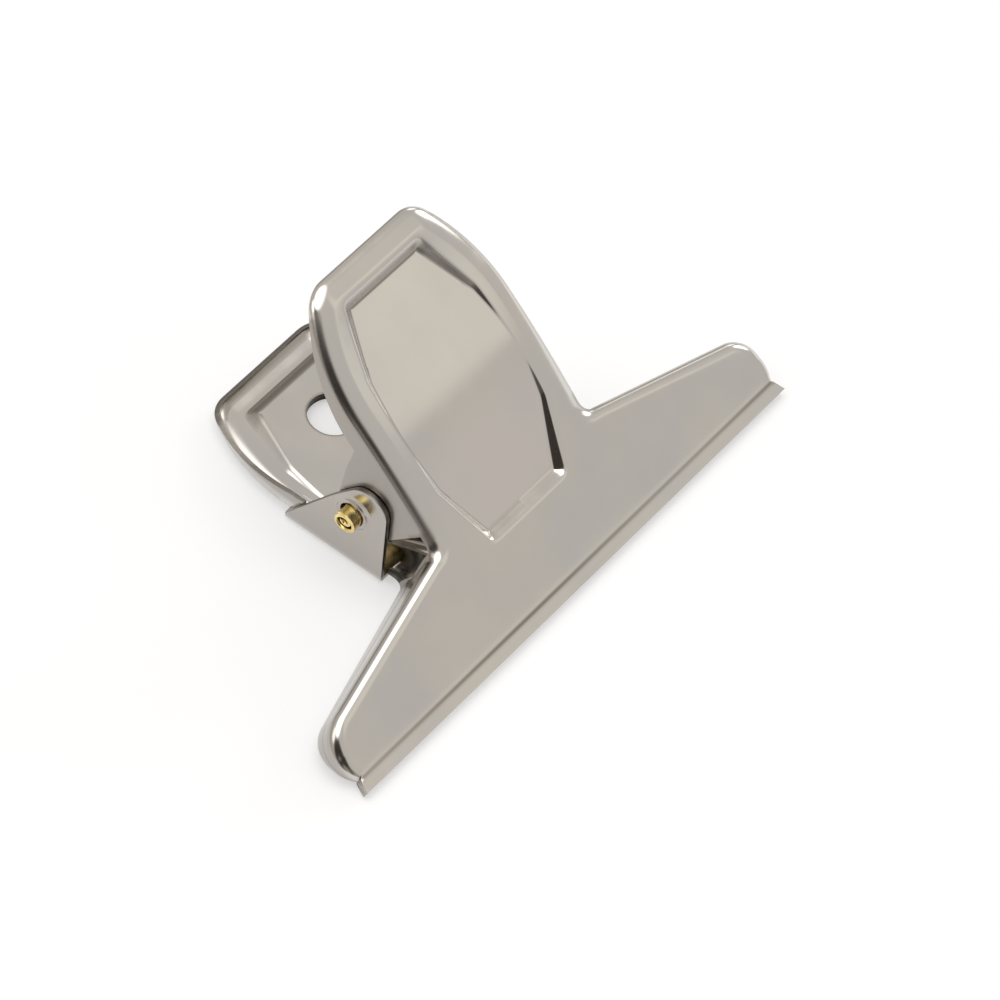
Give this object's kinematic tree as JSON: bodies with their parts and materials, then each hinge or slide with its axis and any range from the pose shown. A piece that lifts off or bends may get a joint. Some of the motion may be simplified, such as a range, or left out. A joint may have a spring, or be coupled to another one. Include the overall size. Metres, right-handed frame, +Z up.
{
  "type": "bulldog clip",
  "caption": "Sprung paper clip with a wide straight jaw: pressed plates with flanged wings and dished finger handles, hinged on a tubular pin, with a hang hole in the rear handle.",
  "frame": {"origin": "centre of the bounding box on the table, with the closed clip lying on its rear plate", "axes": "+X along the jaw, +Y from the jaw's lip to the handles along the table, +Z up from the table"},
  "size_m": [0.077, 0.047, 0.0324],
  "materials": {
    "front_plate": "nickel plated steel sheet, soft bright finish",
    "rear_plate": "nickel plated steel sheet, soft bright finish",
    "hinge_pin": "bare rolled brass strip",
    "torsion_spring": "drawn spring steel wire"
  },
  "bodies": {
    "rear": {"rear_plate": "rear_plate", "hinge_pin": "hinge_pin", "torsion_spring": "torsion_spring"},
    "front": {"front_plate": "front_plate"}
  },
  "joints": [
    {"name": "jaw_hinge", "type": "hinge", "parent": "rear", "child": "front", "pos_m": [0, -0.0015, 0.00912], "axis": [-1, 0, 0], "range_deg": [0, 77], "stiffness_Nm_per_rad": 0.5, "springref_deg": -34.38, "deforming": ["torsion_spring"]}
  ]
}
